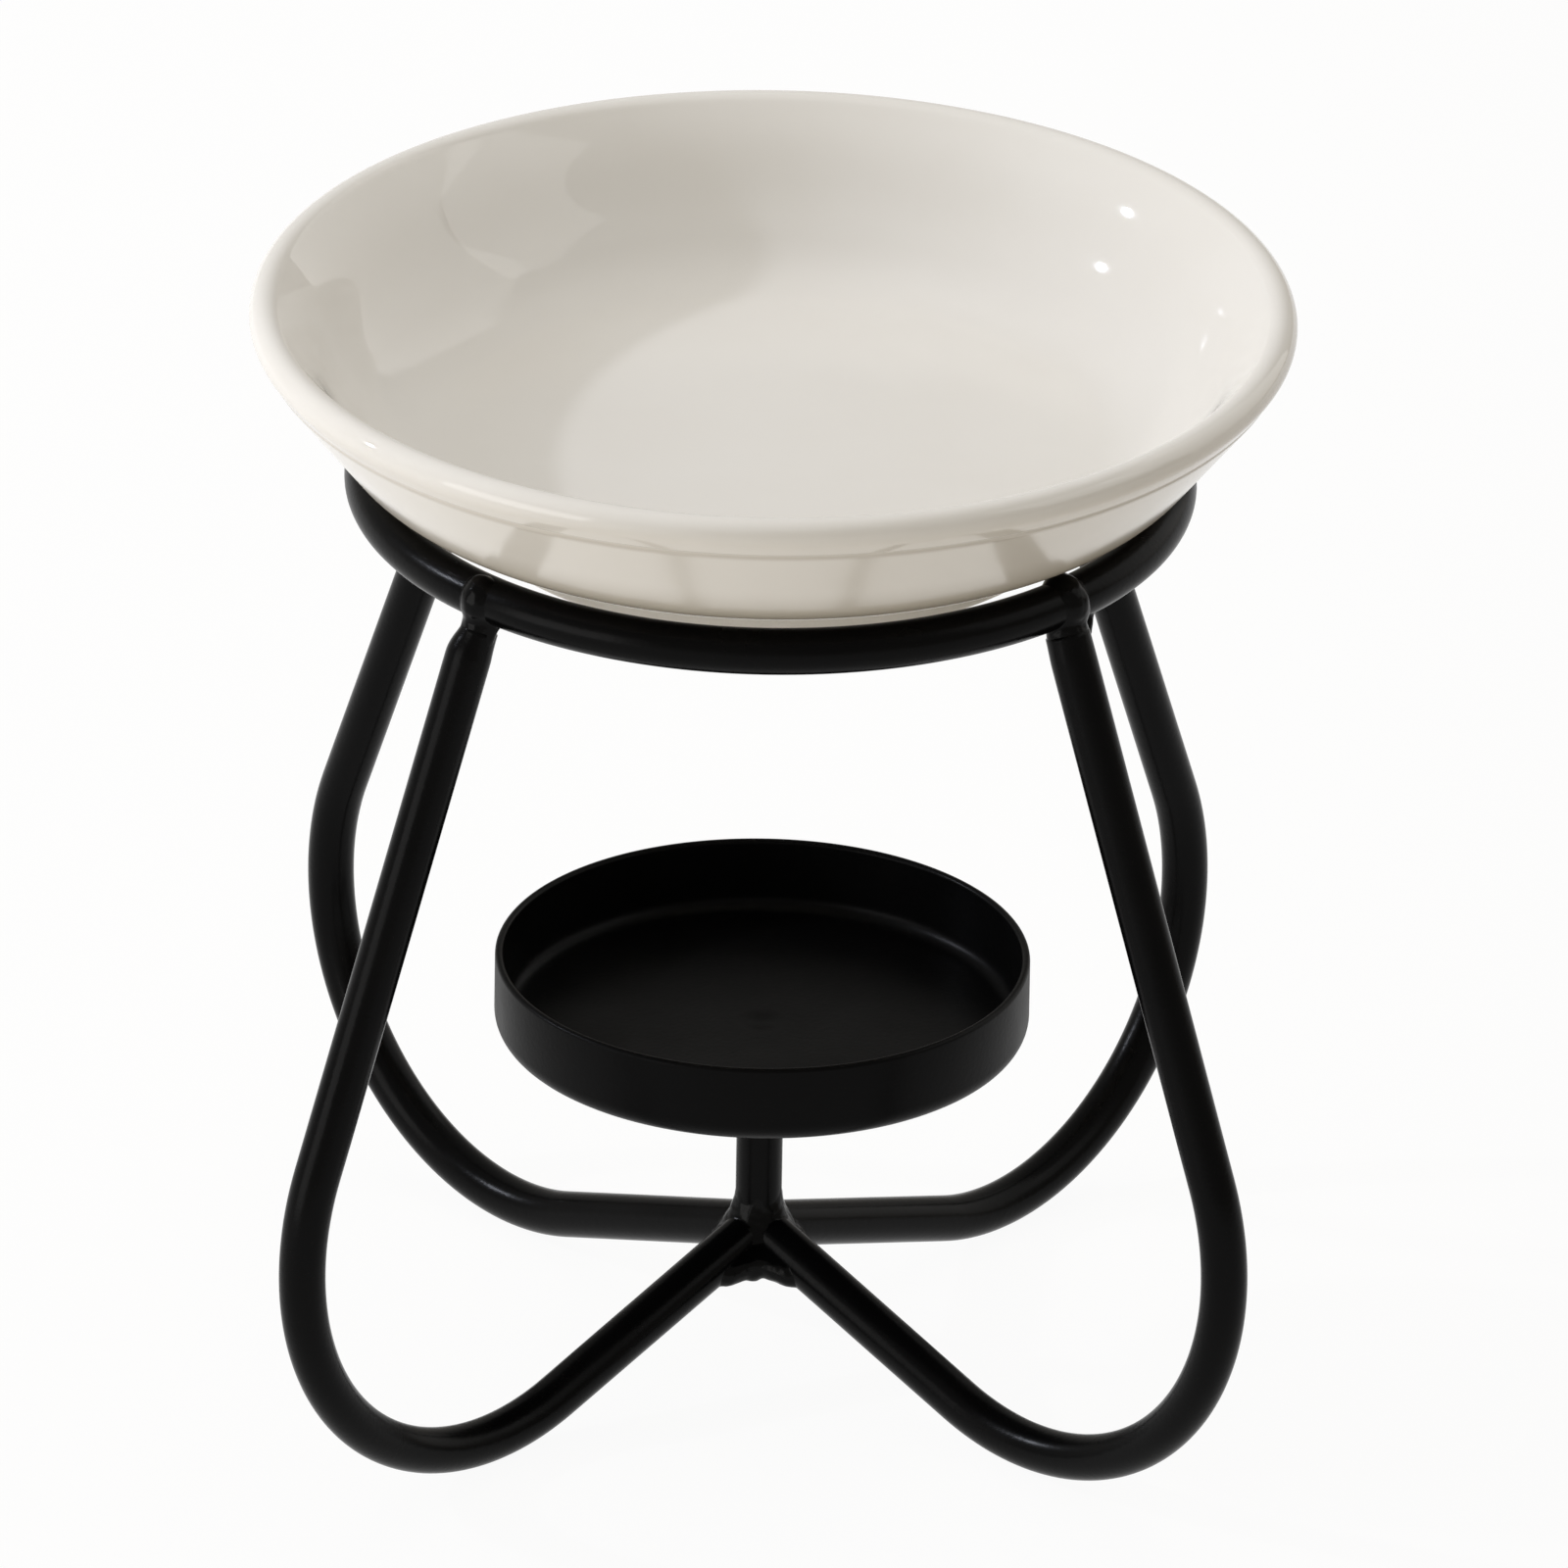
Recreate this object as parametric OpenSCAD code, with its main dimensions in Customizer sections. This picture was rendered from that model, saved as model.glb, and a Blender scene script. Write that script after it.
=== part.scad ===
// Essential oil burner: a glazed ceramic dish rests on a ring of round steel rod.
// The ring stands on four bent rod legs that meet at a hub under the candle cup.
// Units are millimetres, +Z is up and the front faces -Y.
// The origin is on the floor, on the axis of the ring, the dish and the cup.

/* [Rod] */
// Diameter of the steel rod in the ring, the legs and the post
rod_d = 5; // [4.5:0.1:5.5]

/* [Ring and legs] */
// Diameter of the ring, on the centreline of its rod
ring_d = 86.2; // [84:0.2:88]
// Height of the ring's centreline above the floor
ring_z = 103.2; // [100:0.2:104]
// Distance from the axis to where each leg touches the floor
foot_r = 40; // [38:0.2:42]
// Radius of the bend at the foot of each leg, on the rod's centreline
bend_r = 29.5; // [27:0.5:31]
// Height above the floor where the centrelines of the legs meet
hub_z = 14.4; // [13:0.2:16]
// Angle of each front leg from straight ahead, seen from above
front_leg_angle = 45; // [43:1:47]
// Angle of each back leg from straight behind, seen from above
back_leg_angle = 42; // [41:1:47]

/* [Candle cup] */
// Outer diameter of the candle cup
cup_d = 57.6; // [54:0.2:62]
// Height of the cup's rim above the floor
cup_top = 46.8; // [44:0.2:50]
// Height of the cup from its underside to its rim
cup_h = 9; // [7:0.5:11]
// Thickness of the cup's sheet steel
cup_wall = 0.9; // [0.7:0.1:1.2]
// Outer radius where the wall of the cup turns into its floor
cup_round = 2.2; // [1.8:0.1:3]

/* [Dish] */
// Diameter of the dish across its lip
dish_d = 112; // [110:0.2:114]
// Height of the top of the lip above the floor
dish_top = 123.9; // [123:0.1:125]
// Radius of the rounded top of the lip
lip_round = 1.8; // [1.6:0.1:2]
// Slope of the dish's wall above the horizontal
wall_angle = 51.8; // [50:0.2:54]
// Outer radius where the wall turns in to the base
belly_round = 8; // [6:0.5:9]
// Slope of the inside of the wall above the horizontal
basin_angle = 53; // [52:0.5:56]
// Inner radius where the wall turns into the floor of the basin
basin_round = 12; // [10:0.5:14]
// Thickness of the floor of the dish
dish_floor = 2.7; // [2.5:0.1:3.2]

/* [Hidden] */
$fn = 96;
ring_fn = 288;

rod_r = rod_d / 2;
ring_r = ring_d / 2;
cup_r = cup_d / 2;
cup_bottom = cup_top - cup_h;

// Which way each leg points, counted anticlockwise from +X seen from above
front_left = 270 - front_leg_angle;
front_right = 270 + front_leg_angle;
back_left = 90 + back_leg_angle;
back_right = 90 - back_leg_angle;

// Each leg lies in an upright plane, drawn as [distance from the axis, height]
ring_point = [ring_r, ring_z];
hub_point = [0, hub_z];
bend_centre = [foot_r, bend_r + rod_r];
function along(angle, length) = length * [cos(angle), sin(angle)];
function tangent_angle(point, side) =
    let (v = point - bend_centre)
    atan2(v[1], v[0]) + side * acos(bend_r / norm(v));
upper_angle = tangent_angle(ring_point, -1);
lower_angle = tangent_angle(hub_point, 1);
upper_tangent = bend_centre + along(upper_angle, bend_r);
lower_tangent = bend_centre + along(lower_angle, bend_r);

// The rod of a leg is cut square just short of the ring, and upright beside the post
leg_end_gap = 0.6;
hub_gap = 0.25;
hub_cut = rod_r + hub_gap;
// Where it is straight, the rod runs this far into its bend and is this much slimmer
bend_overlap = 0.5;
draw_down = 0.01;
upper_length = norm(ring_point - upper_tangent) - rod_r - leg_end_gap;
lower_length = norm(hub_point - lower_tangent);

// Weld beads: the metal stops this far short of the rods it joins
weld_gap = 0.05;
bead_r = 2.1;
bead_offset = 1.35;
bead_from = upper_angle - 90;
bead_to = 110;
bead_drops = 6;
neck_share = 0.84;
neck_d = neck_share * rod_d;
hub_weld_r = 4.8;
hub_lump_r = 2.6;
hub_lump_drop = 1;
post_below_hub = 2.2;
cup_weld_leg = 1.5;
cup_weld_hollow = 1.35;

// Dimple that the spot weld leaves in the floor of the cup
dimple_r = 3;
dimple_depth = 0.25;

// Dish section, drawn as [distance from the axis, height]
lip_centre = [dish_d / 2 - lip_round, dish_top - lip_round];
lip_edge_round = 0.5;
lip_edge_out = 0.35;
lip_edge_drop = 1.75;
crease_out = 0.4;
crease_drop = 2.65;
lip_edge = lip_centre + [lip_edge_out, -lip_edge_drop];
crease = lip_centre + [crease_out, -crease_drop];
lip_span = lip_edge - lip_centre;
flank_angle = atan2(lip_span[1], lip_span[0]) + acos((lip_round - lip_edge_round) / norm(lip_span));

// The belly clears the ring, because the dish rests on the tops of the four weld beads
belly_gap = 0.8;
belly_z = ring_z + rod_r + belly_gap;
belly_corner = [crease[0] - (crease[1] - belly_z) / tan(wall_angle), belly_z];
belly_run = belly_round * tan(wall_angle / 2);
belly_centre = belly_corner + [-belly_run, belly_round];

// The base slopes on in to a foot ring, which hangs inside the ring of rod and keeps the dish in the middle
base_slope = 12;
foot_outer_r = 33;
foot_width = 4;
foot_drop = 6.5;
recess_depth = 4.9;
belly_end = belly_centre + along(base_slope - 90, belly_round);
foot_top = belly_end[1] - (belly_end[0] - foot_outer_r) * tan(base_slope);
foot_inner_r = foot_outer_r - foot_width;
foot_z = belly_z - foot_drop;
recess_z = foot_z + recess_depth;

basin_z = recess_z + dish_floor;
inner_lip = lip_centre + along(90 + basin_angle, lip_round);
basin_corner = [inner_lip[0] - (inner_lip[1] - basin_z) / tan(basin_angle), basin_z];
basin_run = basin_round * tan(basin_angle / 2);
basin_centre = basin_corner + [-basin_run, basin_round];

belly_steps = 8;
lip_edge_steps = 4;
lip_steps = 18;
basin_steps = 14;
function arc(centre, r, from, to, steps) =
    [for (i = [0 : steps]) centre + along(from + i * (to - from) / steps, r)];

// Section of the dish: foot ring, outer wall, lip and basin, in order
dish_section = concat(
    [[0, recess_z], [foot_inner_r, recess_z], [foot_inner_r, foot_z]],
    [[foot_outer_r, foot_z], [foot_outer_r, foot_top]],
    arc(belly_centre, belly_round, base_slope - 90, wall_angle - 90, belly_steps),
    [crease],
    arc(lip_edge, lip_edge_round, -90, flank_angle, lip_edge_steps),
    arc(lip_centre, lip_round, flank_angle, 90 + basin_angle, lip_steps),
    arc(basin_centre, basin_round, basin_angle - 90, -90, basin_steps),
    [[0, basin_z]]
);

// Loose ceramic dish, glazed down to its foot ring
module dish() {
    color([0.90, 0.88, 0.84])
    rotate_extrude(convexity = 6)
    polygon(dish_section);
}

module ring_solid(r) {
    rotate_extrude($fn = ring_fn) translate([ring_r, 0]) circle(r = r);
}

// Ring of rod that carries the dish
module support_ring() {
    color([0.04, 0.04, 0.045])
    translate([0, 0, ring_z]) ring_solid(rod_r);
}

// Straight rod in a leg's plane, heading up at an angle from a point, and run a little behind it
module straight_rod(point, angle, length, r) {
    translate([point[0], 0, point[1]])
    rotate([0, 90 - angle, 0])
    translate([0, 0, -bend_overlap])
    cylinder(r = r - draw_down, h = length + bend_overlap);
}

// One rod bent at the floor, from just under the ring to just short of the post
module leg_solid(r) {
    translate([bend_centre[0], 0, bend_centre[1]])
    rotate([90, 0, 0])
    rotate([0, 0, lower_angle])
    rotate_extrude(angle = upper_angle - lower_angle)
    translate([bend_r, 0])
    circle(r = r);
    straight_rod(upper_tangent, upper_angle + 90, upper_length, r);
    difference() {
        straight_rod(lower_tangent, lower_angle - 90, lower_length, r);
        translate([-foot_r, -foot_r, 0]) cube([foot_r + hub_cut, 2 * foot_r, ring_z]);
    }
}

module leg(heading) {
    color([0.04, 0.04, 0.045]) rotate([0, 0, heading]) leg_solid(rod_r);
}

module leg_front_left() { leg(front_left); }
module leg_front_right() { leg(front_right); }
module leg_back_left() { leg(back_left); }
module leg_back_right() { leg(back_right); }

// Short upright rod under the cup
module candle_post() {
    color([0.04, 0.04, 0.045])
    translate([0, 0, hub_z - post_below_hub])
    cylinder(r = rod_r, h = cup_bottom - weld_gap - hub_z + post_below_hub);
}

module cup_section(r, round, height) {
    square([r - round, height]);
    translate([0, round]) square([r, height - round]);
    translate([r - round, round]) circle(r = round);
}

// Shallow pressed cup for the candle, with a rounded rim
module candle_cup() {
    color([0.05, 0.05, 0.055])
    translate([0, 0, cup_bottom])
    difference() {
        rotate_extrude() {
            difference() {
                cup_section(cup_r, cup_round, cup_h - cup_wall / 2);
                translate([0, cup_wall]) cup_section(cup_r - cup_wall, cup_round - cup_wall, cup_h);
            }
            translate([cup_r - cup_wall / 2, cup_h - cup_wall / 2]) circle(d = cup_wall);
        }
        translate([0, 0, cup_wall + dimple_r - dimple_depth]) sphere(r = dimple_r);
    }
}

module bead_drop(angle) {
    at = ring_point + along(angle, bead_offset);
    translate([at[0], 0, at[1]]) sphere(r = bead_r);
}

// Weld bead in overlapping drops, from the end of a leg up and over the outer face of the ring
module ring_weld(heading) {
    color([0.05, 0.05, 0.055])
    difference() {
        rotate([0, 0, heading]) {
            for (i = [0 : bead_drops - 1])
                bead_drop(bead_from + i * (bead_to - bead_from) / (bead_drops - 1));
            straight_rod(ring_point, bead_from, rod_r + leg_end_gap, neck_d / 2);
        }
        translate([0, 0, ring_z]) ring_solid(rod_r + weld_gap);
        rotate([0, 0, heading])
        straight_rod(upper_tangent, upper_angle + 90, upper_length + weld_gap, rod_r + weld_gap);
    }
}

module ring_weld_front_left() { ring_weld(front_left); }
module ring_weld_front_right() { ring_weld(front_right); }
module ring_weld_back_left() { ring_weld(back_left); }
module ring_weld_back_right() { ring_weld(back_right); }

// Weld that fills the corners between the four legs and the post
module hub_weld() {
    color([0.05, 0.05, 0.055])
    difference() {
        union() {
            translate([0, 0, hub_z]) sphere(r = hub_weld_r);
            translate([0, 0, hub_z - post_below_hub - hub_lump_drop]) sphere(r = hub_lump_r);
        }
        for (heading = [front_left, front_right, back_left, back_right])
            rotate([0, 0, heading]) leg_solid(rod_r + weld_gap);
        translate([0, 0, hub_z - post_below_hub - weld_gap])
        cylinder(r = rod_r + weld_gap, h = cup_bottom);
    }
}

// Small fillet of weld between the post and the underside of the cup
module cup_weld() {
    color([0.05, 0.05, 0.055])
    translate([0, 0, cup_bottom - weld_gap - cup_weld_leg])
    rotate_extrude()
    translate([rod_r + weld_gap, 0])
    difference() {
        square(cup_weld_leg);
        translate([cup_weld_leg, 0]) circle(r = cup_weld_hollow);
    }
}

dish();
support_ring();
leg_front_left();
leg_front_right();
leg_back_left();
leg_back_right();
candle_post();
candle_cup();
ring_weld_front_left();
ring_weld_front_right();
ring_weld_back_left();
ring_weld_back_right();
hub_weld();
cup_weld();
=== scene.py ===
import math

import bmesh
import bpy
from mathutils import Matrix, Vector


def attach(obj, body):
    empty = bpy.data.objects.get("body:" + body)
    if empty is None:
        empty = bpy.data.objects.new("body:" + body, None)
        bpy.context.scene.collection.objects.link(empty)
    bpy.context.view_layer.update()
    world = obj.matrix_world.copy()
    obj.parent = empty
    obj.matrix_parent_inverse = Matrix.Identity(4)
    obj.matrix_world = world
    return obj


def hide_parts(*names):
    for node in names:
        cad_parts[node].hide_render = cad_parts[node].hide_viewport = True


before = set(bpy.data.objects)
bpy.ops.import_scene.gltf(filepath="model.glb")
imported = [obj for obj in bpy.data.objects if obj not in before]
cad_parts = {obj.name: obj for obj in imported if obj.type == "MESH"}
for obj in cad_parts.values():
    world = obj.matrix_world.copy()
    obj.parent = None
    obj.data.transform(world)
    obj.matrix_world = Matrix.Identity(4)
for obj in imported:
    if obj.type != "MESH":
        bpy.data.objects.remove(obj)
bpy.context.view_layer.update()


# Support ring: 5 mm round steel rod rolled into a ring, its ends butt welded and ground flush.
# The whole stand is powder coated satin black in one go, so ring, legs and welds share one skin.
rod_radius = 0.0025
rod_sides = 48
ring_radius = 0.0431
ring_height = 0.1032
ring_steps = 256
seam_gap = 1e-7
coat_dark = (0.0011, 0.0011, 0.0012)
coat_pale = (0.0024, 0.0023, 0.0023)


def step(tree, kind, values, out=0, **settings):
    """Adds a node: settings first, then its inputs, where a socket is wired in and a plain value is set."""
    node = tree.nodes.new(kind)
    for name, setting in settings.items():
        setattr(node, name, setting)
    for name, value in values.items():
        if isinstance(value, bpy.types.NodeSocket):
            tree.links.new(value, node.inputs[name])
        else:
            node.inputs[name].default_value = value
    return node.outputs[out]


def faded(tree, value, start, end, low=0.0, high=1.0, ease="LINEAR"):
    span = {"Value": value, "From Min": start, "From Max": end, "To Min": low, "To Max": high}
    return step(tree, "ShaderNodeMapRange", span, "Result", interpolation_type=ease)


def blended(tree, share, first, second):
    ends = [(*end, 1) if isinstance(end, tuple) else end for end in (first, second)]
    parts = {"Factor": share, "A": ends[0], "B": ends[1]}
    return step(tree, "ShaderNodeMix", parts, "Result", data_type="RGBA")


def worked(tree, operation, *values):
    return step(tree, "ShaderNodeMath", dict(enumerate(values)), operation=operation)


def speckled(tree, place, scale, detail):
    return step(tree, "ShaderNodeTexNoise", {"Vector": place, "Scale": scale, "Detail": detail}, "Fac")


def satin_black(name, shine, smooth_gloss, dull_gloss):
    coat = bpy.data.materials.new(name)
    coat.use_nodes = True
    tree = coat.node_tree
    skin = tree.nodes["Principled BSDF"]
    skin.inputs["Specular IOR Level"].default_value = shine
    place = step(tree, "ShaderNodeTexCoord", {}, "Object")

    # Powder that flowed a little unevenly: soft clouds in the black and in the gloss
    clouds = speckled(tree, place, scale=85, detail=4)
    tree.links.new(blended(tree, clouds, coat_dark, coat_pale), skin.inputs["Base Color"])
    gloss = faded(tree, clouds, start=0.3, end=0.7, low=smooth_gloss, high=dull_gloss)
    tree.links.new(gloss, skin.inputs["Roughness"])

    # Fine orange peel, under a millimetre across
    peel = {"Strength": 0.35, "Distance": 0.00005, "Height": speckled(tree, place, scale=1700, detail=2)}
    tree.links.new(step(tree, "ShaderNodeBump", peel), skin.inputs["Normal"])
    return coat


def recipe(name, inputs, result):
    tree = bpy.data.node_groups.new(name, "GeometryNodeTree")
    for socket, kind in inputs.items():
        tree.interface.new_socket(socket, in_out="INPUT", socket_type="NodeSocket" + kind)
    tree.interface.new_socket(result, in_out="OUTPUT", socket_type="NodeSocketGeometry")
    return tree, tree.nodes.new("NodeGroupInput").outputs


def coated(tree, mesh, coat):
    real = step(tree, "GeometryNodeRealizeInstances", {"Geometry": mesh})
    smooth = step(tree, "GeometryNodeSetShadeSmooth", {"Geometry": real})
    paint = step(tree, "GeometryNodeSetMaterial", {"Geometry": smooth, "Material": coat})
    tree.links.new(paint, tree.nodes.new("NodeGroupOutput").inputs[0])


def rod_tree():
    inputs = {"Path": "Geometry", "Rod radius": "Float", "Sides": "Int", "Coat": "Material"}
    tree, given = recipe("rod_along_path", inputs, "Rod")
    path = step(tree, "GeometryNodeMeshToCurve", {"Mesh": given["Path"]}, "Curve")
    girth = step(tree, "GeometryNodeInputNamedAttribute", {"Name": "girth"}, "Attribute")
    circle = {"Resolution": given["Sides"], "Radius": given["Rod radius"]}
    section = step(tree, "GeometryNodeCurvePrimitiveCircle", circle, "Curve")
    along = {"Curve": path, "Profile Curve": section, "Scale": girth, "Fill Caps": True}
    coated(tree, step(tree, "GeometryNodeCurveToMesh", along, "Mesh"), given["Coat"])
    return tree


def grown(name, source, tree, sizes):
    piece = bpy.data.objects.new(name, source)
    bpy.context.scene.collection.objects.link(piece)
    grow = piece.modifiers.new(tree.name, "NODES")
    grow.node_group = tree
    for socket in tree.interface.items_tree:
        if socket.in_out == "INPUT" and socket.name in sizes:
            grow[socket.identifier] = sizes[socket.name]
    seen = piece.evaluated_get(bpy.context.evaluated_depsgraph_get())
    plain = bpy.data.meshes.new_from_object(seen)
    piece.modifiers.clear()
    piece.data = plain
    return piece


def faced_outward(piece, merge=0.0):
    shell = bmesh.new()
    shell.from_mesh(piece.data)
    if merge:
        bmesh.ops.remove_doubles(shell, verts=shell.verts, dist=merge)
    bmesh.ops.recalc_face_normals(shell, faces=shell.faces)
    shell.to_mesh(piece.data)
    shell.free()
    return piece


rod_coat = satin_black("satin_black_rod", shine=0.07, smooth_gloss=0.21, dull_gloss=0.29)
rod_nodes = rod_tree()


def rod(name, points, closed=False, girths=None):
    line = bpy.data.meshes.new(name + "_path")
    edges = [(i, i + 1) for i in range(len(points) - 1)]
    if closed:
        edges.append((len(points) - 1, 0))
    line.from_pydata(points, edges, [])
    width = line.attributes.new("girth", "FLOAT", "POINT")
    width.data.foreach_set("value", girths or [1.0] * len(points))
    sizes = {"Rod radius": rod_radius, "Sides": rod_sides, "Coat": rod_coat}
    return faced_outward(grown(name, line, rod_nodes, sizes), merge=seam_gap)


ring_turns = [2 * math.pi * i / ring_steps for i in range(ring_steps)]
ring_path = [(ring_radius * math.cos(a), ring_radius * math.sin(a), ring_height) for a in ring_turns]
ring = rod("ring_of_rod", ring_path, closed=True)
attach(ring, "stand")
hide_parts("support_ring")


# Legs: four lengths of the same rod, each bent once into a round loop that stands on the floor.
# The top end is sawn square and welded under the ring, the lower end runs up to the hub.
headings = {"front_left": 225, "front_right": 315, "back_left": 132, "back_right": 48}
foot_distance = 0.04
bend_radius = 0.0295
bend_steps = 72
straight_steps = 12
hub_height = 0.0144
hub_reach = 0.0024
leg_end_gap = 0.0006
saw_burr = 0.00035
end_rows = 14
end_pitch = 0.0003

ring_point = Vector((ring_radius, ring_height))
hub_point = Vector((0, hub_height))
bend_centre = Vector((foot_distance, bend_radius + rod_radius))


def toward(angle, length=1.0):
    return Vector((math.cos(angle), math.sin(angle))) * length


def touch_angle(point, side):
    span = point - bend_centre
    return math.atan2(span.y, span.x) + side * math.acos(bend_radius / span.length)


def swung(heading, flat, sideways=0.0):
    """A point of the upright plane through the axis, swung round to a leg's heading."""
    return Matrix.Rotation(math.radians(heading), 3, "Z") @ Vector((flat.x, sideways, flat.y))


upper_turn = touch_angle(ring_point, -1)
lower_turn = touch_angle(hub_point, 1)
upper_touch = bend_centre + toward(upper_turn, bend_radius)
lower_touch = bend_centre + toward(lower_turn, bend_radius)
leg_rise = (ring_point - upper_touch).normalized()
leg_top = ring_point - leg_rise * (rod_radius + leg_end_gap)


def on_lower_leg(away):
    return hub_point + (lower_touch - hub_point) * (away / lower_touch.x)


leg_inner = on_lower_leg(hub_reach)
bend_step = (lower_turn - upper_turn) / bend_steps
leg_points = [leg_top] + [leg_top - leg_rise * (saw_burr + end_pitch * i) for i in range(end_rows)]
leg_points += [leg_points[-1].lerp(upper_touch, i / straight_steps) for i in range(1, straight_steps)]
leg_points += [bend_centre + toward(upper_turn + i * bend_step, bend_radius) for i in range(bend_steps + 1)]
leg_points += [lower_touch.lerp(leg_inner, i / straight_steps) for i in range(1, straight_steps + 1)]

# The top ends were ground by hand to fit: some lose a corner, so the end is slimmer and to one side
ground_length = 0.0036
ground_share = {"front_left": 0.20, "front_right": 0.03, "back_left": 0.10, "back_right": 0.05}


def ground(side, below):
    ease = max(0.0, 1 - below / ground_length)
    return ground_share[side] * ease * ease * (3 - 2 * ease)


for side, heading in headings.items():
    path, girths = [], []
    for p in leg_points:
        lost = ground(side, (p - leg_top).length)
        path.append(swung(heading, p, lost * rod_radius))
        girths.append(1 - lost)
    girths[0] -= saw_burr / rod_radius
    leg = rod("bent_leg_" + side, path, girths=girths)
    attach(leg, "stand")
    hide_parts("leg_" + side)


# Candle post: a short upright length of rod that carries the candle cup over the hub.
# Its foot stands between the four legs and is welded to them.
post_sink = 0.0022
post_foot = hub_height - post_sink
post_head = 0.03775
post_steps = 8
post_heights = [post_foot + (post_head - post_foot) * i / post_steps for i in range(post_steps + 1)]
post = rod("upright_post", [(0, 0, height) for height in post_heights])
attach(post, "stand")
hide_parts("candle_post")


# Weld beads: steel laid down in overlapping drops where rods meet, left as they set and coated over.
# Each is one lumpy skin that swells out of the rods and sinks back into them at its edges.
bead_grain = 0.00014
bead_softening = 16
bead_ripple = 0.00024
ripple_scale = 700
ripple_middle = 0.55
drop_pitch = 0.0003
stub_inset = 0.00008
stub_radius = rod_radius - stub_inset


def bead_tree():
    inputs = {"Drops": "Geometry", "Grain": "Float", "Softening": "Int"}
    inputs.update({"Ripple": "Float", "Coat": "Material"})
    tree, given = recipe("weld_bead", inputs, "Bead")
    size = step(tree, "GeometryNodeInputNamedAttribute", {"Name": "drop"}, "Attribute")
    melt = {"Points": given["Drops"], "Voxel Size": given["Grain"], "Radius": size}
    crease_ramp = step(tree, "GeometryNodePointsToVolume", melt, resolution_mode="VOXEL_SIZE")
    skin = step(tree, "GeometryNodeVolumeToMesh", {"Volume": crease_ramp})
    soften = {"Value": step(tree, "GeometryNodeInputPosition", {}), "Iterations": given["Softening"]}
    soft = step(tree, "GeometryNodeBlurAttribute", soften, "Value", data_type="FLOAT_VECTOR")
    settled = step(tree, "GeometryNodeSetPosition", {"Geometry": skin, "Position": soft})
    lumps = step(tree, "ShaderNodeTexNoise", {"Scale": ripple_scale, "Detail": 1}, "Fac")
    height = worked(tree, "MULTIPLY", worked(tree, "SUBTRACT", lumps, ripple_middle), given["Ripple"])
    outward = {"Vector": step(tree, "GeometryNodeInputNormal", {}, "Normal"), "Scale": height}
    push = step(tree, "ShaderNodeVectorMath", outward, operation="SCALE")
    rippled = step(tree, "GeometryNodeSetPosition", {"Geometry": settled, "Offset": push})
    coated(tree, rippled, given["Coat"])
    return tree


# Over the ripples of the beads the coat runs thicker and sets smoother
bead_coat = satin_black("satin_black_bead", shine=0.09, smooth_gloss=0.17, dull_gloss=0.24)
bead_nodes = bead_tree()


def bead(name, drops):
    cloud = bpy.data.meshes.new(name + "_drops")
    cloud.from_pydata([place for place, radius in drops], [], [])
    width = cloud.attributes.new("drop", "FLOAT", "POINT")
    width.data.foreach_set("value", [radius for place, radius in drops])
    sizes = {"Grain": bead_grain, "Softening": bead_softening, "Ripple": bead_ripple, "Coat": bead_coat}
    return grown(name, cloud, bead_nodes, sizes)


def run_of_drops(start, end, radius):
    count = max(2, math.ceil((end - start).length / drop_pitch))
    return [(start.lerp(end, i / count), radius) for i in range(count + 1)]


# Ring welds: metal bridges the short gap over each leg and climbs the ring's outer face, on three of
# them over its top. Each sits a little to one side of its leg, where it runs out in a hollow fillet.
# The dish rests on the high ones.
climb_from = math.atan2(-leg_rise.y, -leg_rise.x)
climb_to = {"front_left": 46, "front_right": 106, "back_left": 108, "back_right": 104}
climb_pitch = 14
ring_stub_drops = 22
leg_stub_start = 0.0002
neck_shift = 0.0004
neck_radius = 0.00205
neck_end = 0.0006
crest_reach = 0.00135
crest_radius = 0.00208
crest_taper = 0.0001
crest_sway = 0.0001
sway_pace = 2.1
fillet_reach = {"front_left": 0.0004, "front_right": 0.0014, "back_left": 0.0008, "back_right": 0.0010}
fillet_side = 0.0019
fillet_slope = 1.3
fillet_low = 0.0012
fillet_high = 0.0006
fillet_radius = 0.0007

for side, heading in headings.items():
    drops = []
    for i in range(-ring_stub_drops, ring_stub_drops + 1):
        turn = i * drop_pitch / ring_radius
        on_ring = Vector((ring_radius * math.cos(turn), ring_height))
        drops.append((swung(heading, on_ring, ring_radius * math.sin(turn)), stub_radius))
    for i in range(end_rows):
        below = leg_stub_start + end_pitch * i
        lost = ground(side, below)
        stub = swung(heading, leg_top - leg_rise * below, lost * rod_radius)
        drops.append((stub, stub_radius - lost * rod_radius))
    neck = swung(heading, leg_top - leg_rise * neck_end, neck_shift)
    drops += run_of_drops(swung(heading, ring_point, neck_shift), neck, neck_radius)

    # The crest of the bead, laid drop over drop from the leg up the ring
    rise = math.radians(climb_to[side]) - climb_from
    count = round(math.degrees(rise) / climb_pitch)
    for i in range(count + 1):
        share = i / count
        crest = ring_point + toward(climb_from + share * rise, crest_reach)
        sway = crest_sway * math.sin(sway_pace * i + heading)
        drops.append((swung(heading, crest, neck_shift + sway), crest_radius - crest_taper * share))

    # The hollow where it runs from the ring down one side of the leg
    run_out = fillet_slope * fillet_reach[side]
    low = ring_point - leg_rise * (rod_radius + fillet_low + run_out)
    high = ring_point - leg_rise * (rod_radius - fillet_high)
    hollow_end = swung(heading, high, fillet_side + run_out)
    drops += run_of_drops(swung(heading, low, fillet_side), hollow_end, fillet_radius)
    weld = bead("ring_bead_" + side, drops)
    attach(weld, "stand")
    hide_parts("ring_weld_" + side)


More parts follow.
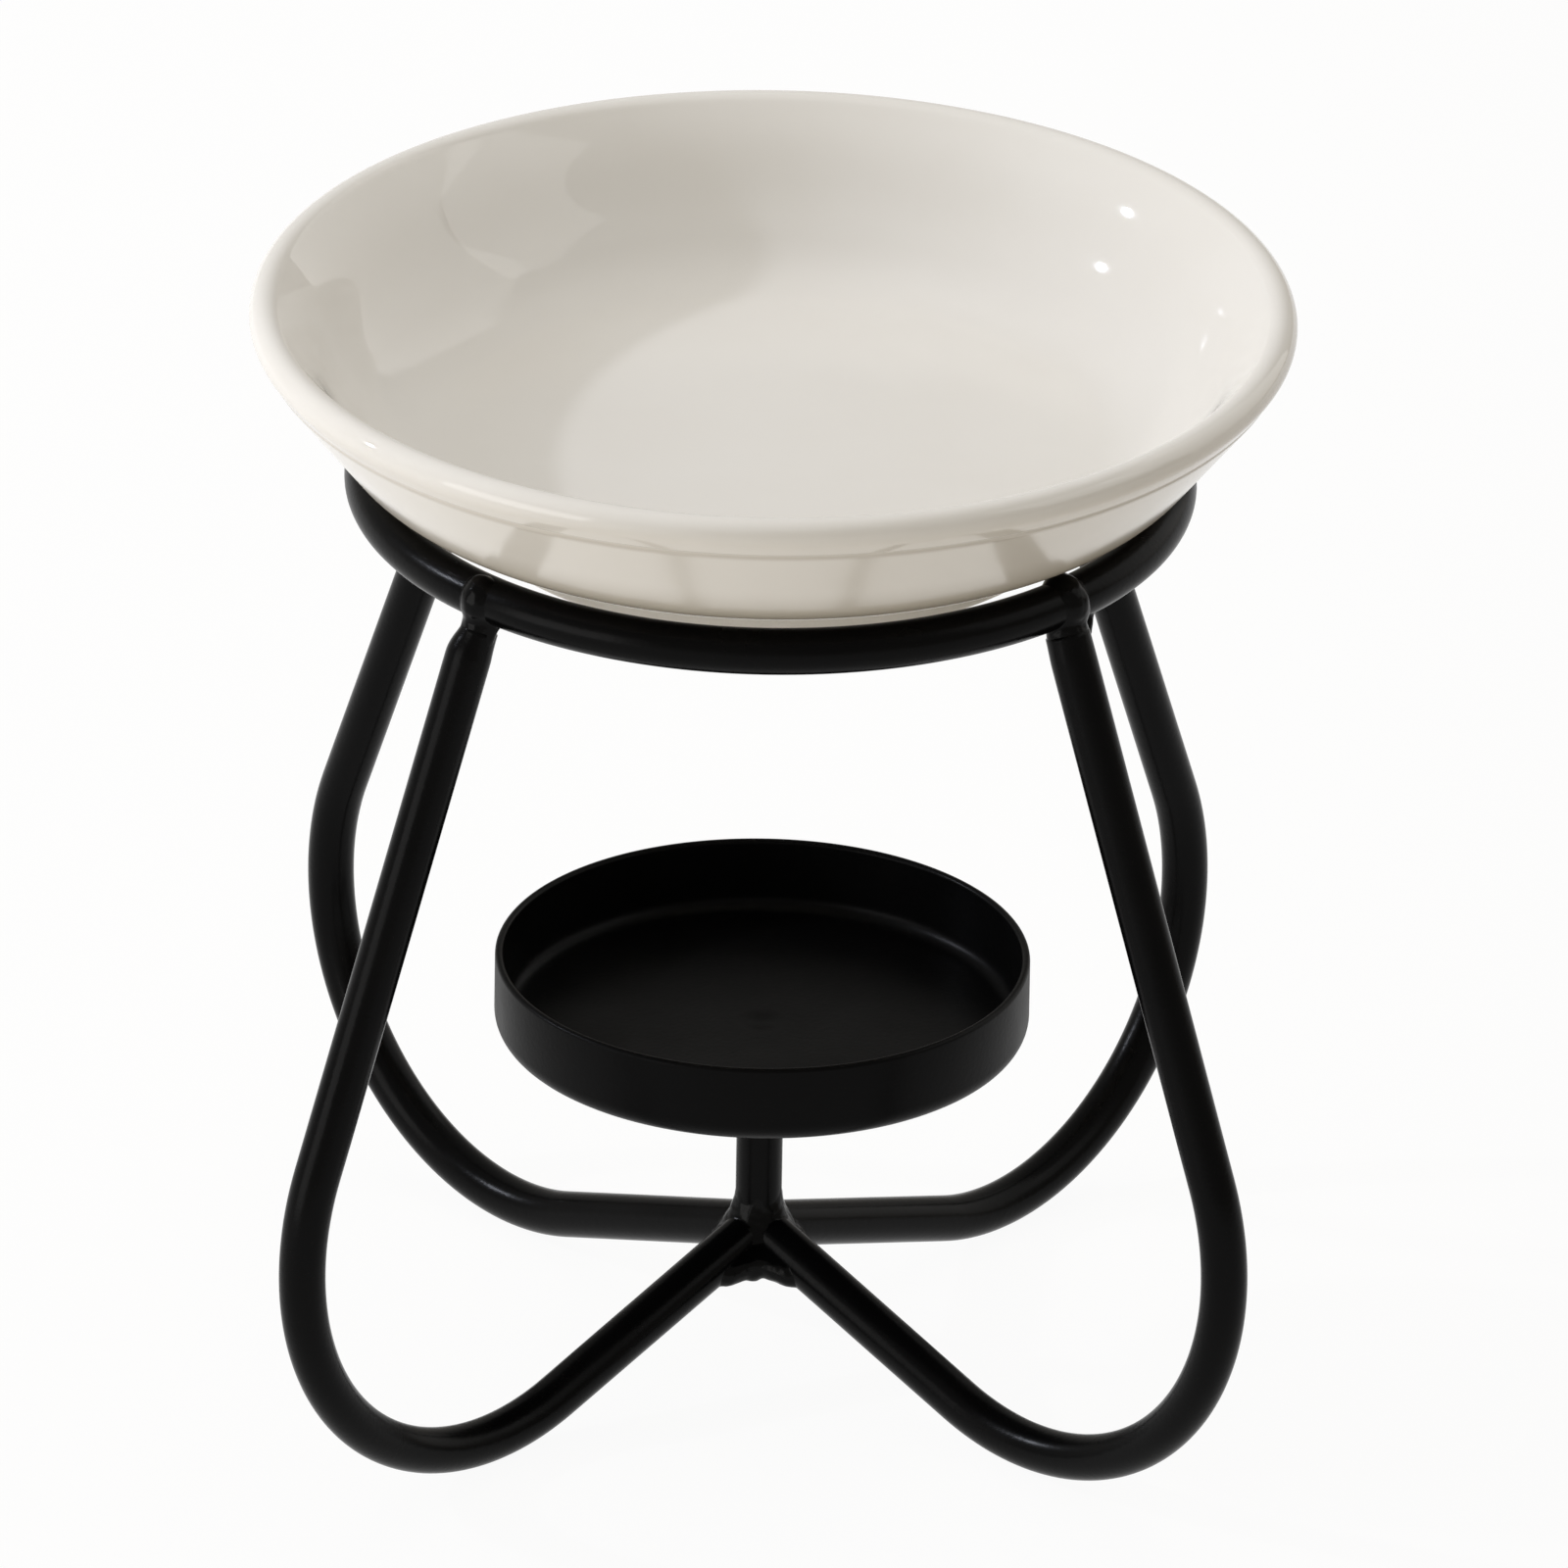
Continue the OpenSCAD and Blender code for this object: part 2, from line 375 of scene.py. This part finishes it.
# Hub weld: fills the corners between the four legs and the foot of the post.
# It runs up the post like a hollow skirt, webs the fork of the front legs and ends below in a low lump.
hub_top = 0.0205
hub_stub = (0.0012, 0.0090)
drops = run_of_drops(Vector((0, 0, post_foot)), Vector((0, 0, hub_top)), stub_radius)
for heading in headings.values():
    near, far = [swung(heading, on_lower_leg(away)) for away in hub_stub]
    drops += run_of_drops(near, far, stub_radius)

skirt_rows = 15
skirt_drops = 30
skirt_bottom = 0.0124
skirt_rise = 0.0060
skirt_neck = 0.0014
skirt_flare = 0.0026
skirt_curve = 1.7
skirt_radius = 0.00112
slow_wobble = 0.05
quick_wobble = 0.04
for row in range(skirt_rows):
    share = row / (skirt_rows - 1)
    height = skirt_bottom + skirt_rise * share
    reach = skirt_neck + skirt_flare * (1 - share) ** skirt_curve
    for i in range(skirt_drops):
        turn = 2 * math.pi * i / skirt_drops
        wobble = 1 + slow_wobble * math.sin(2 * turn + 1) + quick_wobble * math.sin(5 * turn - 3 * share)
        spot = Vector((reach * wobble * math.cos(turn), reach * wobble * math.sin(turn), height))
        drops.append((spot, skirt_radius))

web_rows = 15
web_start = 0.0040
web_length = 0.0042
web_sink = 0.0004
web_radius = 0.0015
web_half_fork = math.radians(45)
hollow_start = 0.0060
hollow_pace = 1.5
for row in range(web_rows):
    away = web_start + web_length * row / (web_rows - 1)
    under = on_lower_leg(away) - Vector((0, web_sink))
    spread = away * math.sin(web_half_fork)
    hollow = max(0, hollow_pace * (away - hollow_start))
    for hand in (-1, 1):
        edge = Vector((hand * hollow, -spread, under.y))
        drops += run_of_drops(Vector((hand * spread, -spread, under.y)), edge, web_radius)

web_drip = (-0.0006, -0.0048, 0.0112)
web_drip_radius = 0.0014
lumps_below = [
    ((-0.0012, -0.0008, 0.0113), (0.0014, -0.0006, 0.0115), 0.0017),
    ((0.0002, -0.0012, 0.0108), (0.0003, -0.0009, 0.0106), 0.0013),
]
drops.append((Vector(web_drip), web_drip_radius))
for start, end, radius in lumps_below:
    drops += run_of_drops(Vector(start), Vector(end), radius)
hub = bead("hub_bead", drops)
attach(hub, "stand")
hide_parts("hub_weld")


# Candle cup: a shallow cup pressed from thin sheet steel, with a rounded bottom edge and a soft rim.
# It is fixed to the post by a weld underneath, which leaves a faint dimple in the middle of its floor.
# Like every piece that is turned on its axis, it is drawn as a half section in millimetres.
metre = 1000
cup_outer = 28.8
cup_top = 46.8
cup_bottom = 37.8
cup_sheet = 0.9
cup_edge = 2.4
cup_inner_edge = 1.7
cup_floor_inset = 1
cup_steps = 192
dimple_reach = 3.0
dimple_depth = 0.25
dimple_steps = 12
axis_seam = 2e-6


def arc(centre, radius, start, end, steps):
    turns = [math.radians(start + (end - start) * i / steps) for i in range(steps + 1)]
    return [(centre[0] + radius * math.cos(a), centre[1] + radius * math.sin(a)) for a in turns]


def straight(start, end, steps):
    run, rise = end[0] - start[0], end[1] - start[1]
    return [(start[0] + run * i / steps, start[1] + rise * i / steps) for i in range(steps)]


def turned_tree():
    inputs = {"Section": "Geometry", "Section points": "Int", "Steps round": "Int", "Finish": "Material"}
    tree, given = recipe("turned_on_axis", inputs, "Piece")
    points, steps = given["Section points"], given["Steps round"]

    def counted(operation, first, second):
        return step(tree, "FunctionNodeIntegerMath", {0: first, 1: second}, operation=operation)

    grid = {"Vertices X": counted("ADD", steps, 1), "Vertices Y": points}
    sheet = step(tree, "GeometryNodeMeshGrid", grid, "Mesh")
    index = step(tree, "GeometryNodeInputIndex", {})
    share = worked(tree, "DIVIDE", counted("DIVIDE_FLOOR", index, points), steps)
    angle = worked(tree, "MULTIPLY", share, 2 * math.pi)
    pick = {"Geometry": given["Section"], "Index": counted("MODULO", index, points)}
    pick["Value"] = step(tree, "GeometryNodeInputPosition", {})
    point = step(tree, "GeometryNodeSampleIndex", pick, "Value", data_type="FLOAT_VECTOR")
    swing = step(tree, "ShaderNodeVectorRotate", {"Vector": point, "Angle": angle}, rotation_type="Z_AXIS")
    placed = step(tree, "GeometryNodeSetPosition", {"Geometry": sheet, "Position": swing})
    closed = step(tree, "GeometryNodeMergeByDistance", {"Geometry": placed, "Distance": axis_seam})
    coated(tree, closed, given["Finish"])
    return tree


turned_nodes = turned_tree()


def turned(name, section, steps, finish):
    line = bpy.data.meshes.new(name + "_section")
    line.from_pydata([(r / metre, 0, z / metre) for r, z in section], [], [])
    sizes = {"Section points": len(section), "Steps round": steps, "Finish": finish}
    return faced_outward(grown(name, line, turned_nodes, sizes))


cup_inner = cup_outer - cup_sheet
cup_floor = cup_bottom + cup_sheet
rim_round = cup_sheet / 2
floor_edge = cup_inner - cup_inner_edge
dimple_turns = [math.pi * i / dimple_steps for i in range(dimple_steps + 1)]
dimple_levels = [cup_floor - dimple_depth * (0.5 + 0.5 * math.cos(turn)) for turn in dimple_turns]
dimple = [(dimple_reach * i / dimple_steps, level) for i, level in enumerate(dimple_levels)]
cup_section = straight((0, cup_bottom), (cup_outer - cup_edge, cup_bottom), steps=10)
cup_section += arc((cup_outer - cup_edge, cup_bottom + cup_edge), cup_edge, -90, 0, steps=12)
cup_section += arc((cup_outer - rim_round, cup_top - rim_round), rim_round, 0, 180, steps=12)
cup_section += arc((floor_edge, cup_floor + cup_inner_edge), cup_inner_edge, 0, -90, steps=12)
cup_section += straight((floor_edge - cup_floor_inset, cup_floor), (dimple_reach, cup_floor), steps=8)
cup_section += dimple[::-1]

cup_coat = satin_black("satin_black_cup", shine=0.06, smooth_gloss=0.30, dull_gloss=0.40)
cup = turned("pressed_cup", cup_section, cup_steps, cup_coat)
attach(cup, "stand")
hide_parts("candle_cup")


# Cup weld: a small hollow fillet of weld all round the head of the post, under the cup.
# It is coated with the rest of the stand.
fillet = 1.5
fillet_bite = 0.1
fillet_gap = 0.05
fillet_steps = 64
post_side = rod_radius * metre
fillet_inner = post_side - fillet_bite
fillet_outer = post_side + fillet + fillet_gap
fillet_top = cup_bottom - fillet_gap
fillet_centre = (fillet_outer, cup_bottom - fillet - fillet_gap)
fillet_section = [(fillet_inner, fillet_top), (fillet_inner, cup_bottom - fillet - fillet_bite)]
fillet_section += arc(fillet_centre, fillet - fillet_bite, 180, 90, steps=10)
fillet_section += [(fillet_outer, fillet_top), (fillet_inner, fillet_top)]
cup_bead = turned("cup_bead", fillet_section, fillet_steps, rod_coat)
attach(cup_bead, "stand")
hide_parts("cup_weld")


# Dish: a shallow stoneware dish turned on a wheel, with a thick rolled lip, a crease under it and a foot.
# It is dipped in a warm white glaze and fired glossy.
# The foot ring stays bare clay and drops loosely inside the steel ring.
lip_centre = (54.2, 122.1)
lip_round = 1.8
lip_edge = (54.55, 120.35)
lip_edge_round = 0.5
lip_edge_start = -70
lip_flank = -35.4
crease = (54.6, 119.45)
crease_soft = 0.3
outer_slope = 51.8
belly_bottom = 106.5
belly_round = 8.0
base_slope = 12.0
foot_outer = 33.0
foot_inner = 29.0
foot_bottom = 100.0
foot_round = 0.6
foot_fillet = 0.7
recess_height = 104.9
inner_slope = 53.0
inner_sway = 6.0
basin_round = 12.0
basin_floor = 107.6
floor_dip = 0.25
floor_steps = 20
dish_steps = 288


def inner_wall(start, drop, steps):
    """Inside of the wall: it steepens half way down, eases off again and ends as steep as it starts."""
    shares = [(i + 0.5) / steps for i in range(steps)]
    slopes = [math.radians(inner_slope - inner_sway * math.cos(2 * math.pi * share)) for share in shares]
    pace = drop / sum(math.sin(slope) for slope in slopes)
    line = [start]
    for slope in slopes:
        x, z = line[-1]
        line.append((x - pace * math.cos(slope), z - pace * math.sin(slope)))
    return line[1:]


end_slope = inner_slope - inner_sway
inner_lip = arc(lip_centre, lip_round, 90 + end_slope, 90 + end_slope, steps=1)[0]
basin_rise = basin_round * (1 - math.cos(math.radians(end_slope)))
dish_wall = inner_wall(inner_lip, inner_lip[1] - basin_floor - basin_rise, steps=48)
floor_reach = dish_wall[-1][0] - basin_round * math.sin(math.radians(end_slope))
basin_centre = (floor_reach, basin_floor + basin_round)

# The outer wall drops from the crease to a round belly, and the base runs on in to the foot
wall_run = (crease[1] - belly_bottom) / math.tan(math.radians(outer_slope))
belly_run = belly_round * math.tan(math.radians(outer_slope / 2))
belly_centre = (crease[0] - wall_run - belly_run, belly_bottom + belly_round)
belly = arc(belly_centre, belly_round, base_slope - 90, outer_slope - 90, steps=16)
base_fall = math.tan(math.radians(base_slope))
corner_reach = foot_outer + foot_fillet
base_at_corner = belly[0][1] - (belly[0][0] - corner_reach) * base_fall
corner_centre = (corner_reach, base_at_corner - foot_fillet / math.cos(math.radians(base_slope)))
foot_corner = arc(corner_centre, foot_fillet, 180, 90 + base_slope, steps=8)
under_crease = tuple(crease[i] - crease_soft * v for i, v in enumerate(toward(math.radians(outer_slope))))
lip_start = arc(lip_edge, lip_edge_round, lip_edge_start, lip_flank, steps=6)
floor_turns = [(i, math.pi * i / (2 * floor_steps)) for i in range(1, floor_steps + 1)]

dish_section = straight((0, recess_height), (foot_inner - foot_round, recess_height), steps=10)
dish_section += arc((foot_inner - foot_round, recess_height - foot_round), foot_round, 90, 0, steps=5)
dish_section += arc((foot_inner + foot_round, foot_bottom + foot_round), foot_round, 180, 270, steps=5)
dish_section += arc((foot_outer - foot_round, foot_bottom + foot_round), foot_round, -90, 0, steps=5)
dish_section += foot_corner
dish_section += straight(foot_corner[-1], belly[0], steps=6)[1:]
dish_section += belly
dish_section += straight(belly[-1], under_crease, steps=14)[1:] + [under_crease]
dish_section += straight(crease, lip_start[0], steps=4)
dish_section += lip_start
dish_section += arc(lip_centre, lip_round, lip_flank, 90 + end_slope, steps=40)
dish_section += dish_wall
dish_section += arc(basin_centre, basin_round, end_slope - 90, -90, steps=28)[1:]
for i, turn in floor_turns:
    dip = floor_dip * math.sin(turn) ** 2
    dish_section.append((floor_reach * (1 - i / floor_steps), basin_floor - dip))

# Colours of the glaze, and the heights in metres between which each change in it comes on
glaze_thin = (0.775, 0.742, 0.685)
glaze_thick = (0.825, 0.800, 0.750)
# Painted shade: the greyer colour of the crease under the lip
crease_shade_colour = (0.52, 0.475, 0.405)
# Painted shade: the darker, browner colour of the belly's underside
belly_shade_colour = (0.43, 0.385, 0.305)
clay_dark = (0.86, 0.83, 0.77)
clay_pale = (0.90, 0.875, 0.825)
wall_lean = -0.787
wall_middle = (-0.0425, -0.0415)
# Painted shade in the crease: the heights it spans, and how dark it gets at each
crease_shade_from, crease_shade_to = 0.1015, 0.1250
crease_shade_depths = [(0.1188, 0.0), (0.1195, 0.6), (0.1202, 0.0)]
# Painted shade over the belly: the heights it fades in over, and how strong it gets
belly_shade_band = (0.1135, 0.1065)
belly_shade_share = 0.9
bare_line = (0.1053, 0.1051)
veil_under_lip = (0.1200, 0.1185)
veil_on_floor = (0.1125, 0.1090)
veiled_gloss = 0.14
clay_gloss = 0.75


def cream_glaze():
    glaze = bpy.data.materials.new("warm_white_glaze")
    glaze.use_nodes = True
    tree = glaze.node_tree
    skin = tree.nodes["Principled BSDF"]
    skin.inputs["IOR"].default_value = 1.5
    place = step(tree, "ShaderNodeTexCoord", {}, "Object")
    height = step(tree, "ShaderNodeSeparateXYZ", {"Vector": place}, "Z")

    # Outside and inside of the wall, told apart by a slanted line half way through it
    flat = step(tree, "ShaderNodeVectorMath", {0: place, 1: (1, 1, 0)}, operation="MULTIPLY")
    reach = step(tree, "ShaderNodeVectorMath", {0: flat}, "Value", operation="LENGTH")
    outside = faded(tree, worked(tree, "MULTIPLY_ADD", height, wall_lean, reach), *wall_middle)

    # Thicker and thinner glaze shifts the white a little over the width of a finger
    drift = speckled(tree, place, scale=38, detail=3)
    white = blended(tree, drift, glaze_thin, glaze_thick)

    # Painted shade: a greyer band on the outside, in the crease under the lip, where the crease lies in
    # shade
    crease_ramp = tree.nodes.new("ShaderNodeValToRGB")
    crease_ramp.color_ramp.interpolation = "EASE"
    for end in crease_ramp.color_ramp.elements:
        end.color = (0, 0, 0, 1)
    for level, crease_darkness in crease_shade_depths:
        mark = crease_ramp.color_ramp.elements.new((level - crease_shade_from) / (crease_shade_to - crease_shade_from))
        mark.color = (crease_darkness, crease_darkness, crease_darkness, 1)
    tree.links.new(faded(tree, height, crease_shade_from, crease_shade_to), crease_ramp.inputs["Fac"])
    crease_shaded = worked(tree, "MULTIPLY", crease_ramp.outputs["Color"], outside)
    white_with_crease_shade = blended(tree, crease_shaded, white, crease_shade_colour)

    # Painted shade: over the round of the belly, where it turns under and away from the light, the glaze is
    # darker and browner
    belly_shade = faded(tree, height, *belly_shade_band, high=belly_shade_share, ease="SMOOTHSTEP")
    belly_shaded = blended(tree, worked(tree, "MULTIPLY", belly_shade, outside), white_with_crease_shade, belly_shade_colour)

    # The foot ring and the recess inside it are wiped clean before firing and stay bare, dull clay
    bare = faded(tree, height, *bare_line)
    grit = speckled(tree, place, scale=2600, detail=3)
    clay = blended(tree, grit, clay_dark, clay_pale)
    tree.links.new(blended(tree, bare, belly_shaded, clay), skin.inputs["Base Color"])

    # Under the crease and on the basin floor the glaze lies thinner and mirrors less sharply
    gloss = faded(tree, drift, start=0.3, end=0.7, low=0.03, high=0.06)
    veiled = worked(tree, "MULTIPLY", faded(tree, height, *veil_under_lip), outside)
    matter = worked(tree, "MAXIMUM", veiled, faded(tree, height, *veil_on_floor))
    satin = step(tree, "ShaderNodeMix", {"Factor": matter, "A": gloss, "B": veiled_gloss}, "Result")
    dull = step(tree, "ShaderNodeMix", {"Factor": bare, "A": satin, "B": clay_gloss}, "Result")
    tree.links.new(dull, skin.inputs["Roughness"])

    # Slow waves in the glaze that bend reflections, and fine grit on the bare clay
    waves = {"Strength": 0.16, "Distance": 0.0003, "Height": speckled(tree, place, scale=130, detail=1)}
    sand = {"Strength": bare, "Distance": 0.00006, "Height": grit}
    sand["Normal"] = step(tree, "ShaderNodeBump", waves)
    tree.links.new(step(tree, "ShaderNodeBump", sand), skin.inputs["Normal"])
    return glaze


dish = turned("glazed_dish", dish_section, dish_steps, cream_glaze())
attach(dish, "dish")
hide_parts("dish")


# Floor and room: a sweep of pale paper runs far out under the burner and takes its soft shadow; its colour
# turns darker and browner to the right, painted shade of that side. Low down the room is bright on the left
# and dim and warm on the right.
# Overhead it is an even grey.
sweep_reach = 6.0
sweep_height = -0.0001
paper_left = (0.84, 0.80, 0.73)
# Painted shade: the paper's darker, browner colour on the right
paper_shaded_right = (0.50, 0.44, 0.35)
paper_shade_span = (0.03, 0.20)
paper_glow = 0.94
wall_left = (0.80, 0.79, 0.77)
wall_right = (0.40, 0.36, 0.31)
wall_bright_side = (-0.95, -0.3, 0)
overhead = (0.428, 0.416, 0.394)
overhead_fade = (0.04, 0.30)

sweep_mesh = bpy.data.meshes.new("pale_sweep")
quarters = [(-1, -1), (1, -1), (1, 1), (-1, 1)]
corners = [(sweep_reach * x, sweep_reach * y, sweep_height) for x, y in quarters]
sweep_mesh.from_pydata(corners, [], [(0, 1, 2, 3)])
sweep = bpy.data.objects.new("pale_sweep", sweep_mesh)
bpy.context.scene.collection.objects.link(sweep)

paper = bpy.data.materials.new("white_paper")
paper.use_nodes = True
tree = paper.node_tree
tree.nodes.remove(tree.nodes["Principled BSDF"])
place = step(tree, "ShaderNodeTexCoord", {}, "Object")
across = step(tree, "ShaderNodeSeparateXYZ", {"Vector": place}, "X")
# Painted shade: the paper's colour darkens and browns towards the right
paper_tone_and_shade = blended(tree, faded(tree, across, *paper_shade_span), paper_left, paper_shaded_right)
fibre = step(tree, "ShaderNodeBsdfDiffuse", {"Color": paper_tone_and_shade})
glow = step(tree, "ShaderNodeEmission", {"Color": (1, 1, 1, 1), "Strength": 1.0})
sight = tree.nodes.new("ShaderNodeLightPath").outputs
seen = worked(tree, "MAXIMUM", sight["Is Camera Ray"], sight["Is Glossy Ray"])
seen = worked(tree, "MAXIMUM", seen, sight["Is Transmission Ray"])
lift = worked(tree, "MULTIPLY", seen, paper_glow)
lit_paper = step(tree, "ShaderNodeMixShader", {"Fac": lift, 1: fibre, 2: glow})
tree.links.new(lit_paper, tree.nodes["Material Output"].inputs["Surface"])
sweep_mesh.materials.append(paper)

room = bpy.data.worlds.new("room")
room.use_nodes = True
bpy.context.scene.world = room
tree = room.node_tree
way = step(tree, "ShaderNodeTexCoord", {}, "Generated")
height = step(tree, "ShaderNodeSeparateXYZ", {"Vector": way}, "Z")
toward_bright = {0: way, 1: wall_bright_side}
side_on = step(tree, "ShaderNodeVectorMath", toward_bright, "Value", operation="DOT_PRODUCT")
walls = blended(tree, faded(tree, side_on, -1, 1), wall_right, wall_left)
shade = blended(tree, faded(tree, height, *overhead_fade), walls, overhead)
tree.links.new(shade, tree.nodes["Background"].inputs["Color"])
tree.nodes["Background"].inputs["Strength"].default_value = 1.0


# Lamps: a small round lamp on the left, in a wide halo, draws the sparks on the glaze and the rods' streaks.
# A broad soft light overhead is the brightest, and a pale card fills from the front left.
# Two dim windows on the right are seen only as reflections.
aim = Vector((0, 0, 0.095))
lamp_left = (-0.872, 0.158, 0.463)
lamp_distance = 1.5
cool = (0.97, 1.02, 1.15)
soft = (1.0, 0.987, 0.975)
pale = (1.0, 0.99, 0.98)
warm = (1.0, 0.99, 0.97)


def lamp(name, shape, size, toward_lamp, distance, watts, colour, mirrored=True, lights=True):
    light = bpy.data.lights.new(name, "AREA")
    light.shape = shape
    light.size = size
    light.energy = watts
    light.color = colour
    holder = bpy.data.objects.new(name, light)
    bpy.context.scene.collection.objects.link(holder)
    holder.location = aim + Vector(toward_lamp).normalized() * distance
    holder.rotation_euler = (aim - holder.location).to_track_quat("-Z", "Y").to_euler()
    holder.visible_camera = False
    holder.visible_glossy = mirrored
    holder.visible_diffuse = lights


lamp("round_lamp_left", "DISK", 0.06, lamp_left, lamp_distance, watts=5.6, colour=cool)
lamp("wide_lamp_left", "DISK", 0.5, lamp_left, lamp_distance, watts=3.4, colour=cool, mirrored=False)
lamp("soft_light_above", "SQUARE", 1.3, (0.04, 0.28, 0.92), 1.6, watts=9.2, colour=soft, mirrored=False)
lamp("pale_card_left", "SQUARE", 0.72, (-0.80, -0.55, 0.13), 1.2, watts=3.8, colour=pale)
lamp("dim_window_back", "SQUARE", 1.15, (0.772, 0.446, 0.454), 1.3, watts=3.3, colour=warm, lights=False)
lamp("dim_window_front", "SQUARE", 0.7, (0.795, -0.198, 0.574), 1.3, watts=1.3, colour=warm, lights=False)


# Camera: far back with a long lens, a little above the dish, as the photograph was taken.
# The picture is square, with the burner near the middle.
image_size = 1600
focal_pixels = 40000
stand_off = 4.237585
elevation = math.radians(26.412)
pitch = math.radians(25.595)
yaw = math.radians(0.030)
roll = math.radians(0.972)
round_turn = math.radians(-0.745)

ahead = Vector((math.sin(yaw) * math.cos(pitch), math.cos(yaw) * math.cos(pitch), -math.sin(pitch)))
level_right = ahead.cross(Vector((0, 0, 1))).normalized()
level_up = level_right.cross(ahead)
picture_right = level_right * math.cos(roll) + level_up * math.sin(roll)
picture_up = level_up * math.cos(roll) - level_right * math.sin(roll)
stance = Matrix((picture_right, picture_up, -ahead)).transposed().to_4x4()
stance.translation = Vector((0, -stand_off * math.cos(elevation), stand_off * math.sin(elevation)))

eye = bpy.data.cameras.new("camera")
eye.sensor_width = 36
eye.lens = focal_pixels / image_size * eye.sensor_width
camera = bpy.data.objects.new("camera", eye)
bpy.context.scene.collection.objects.link(camera)
camera.matrix_world = Matrix.Rotation(round_turn, 4, "Z") @ stance
bpy.context.scene.camera = camera
bpy.context.scene.view_settings.view_transform = "Standard"
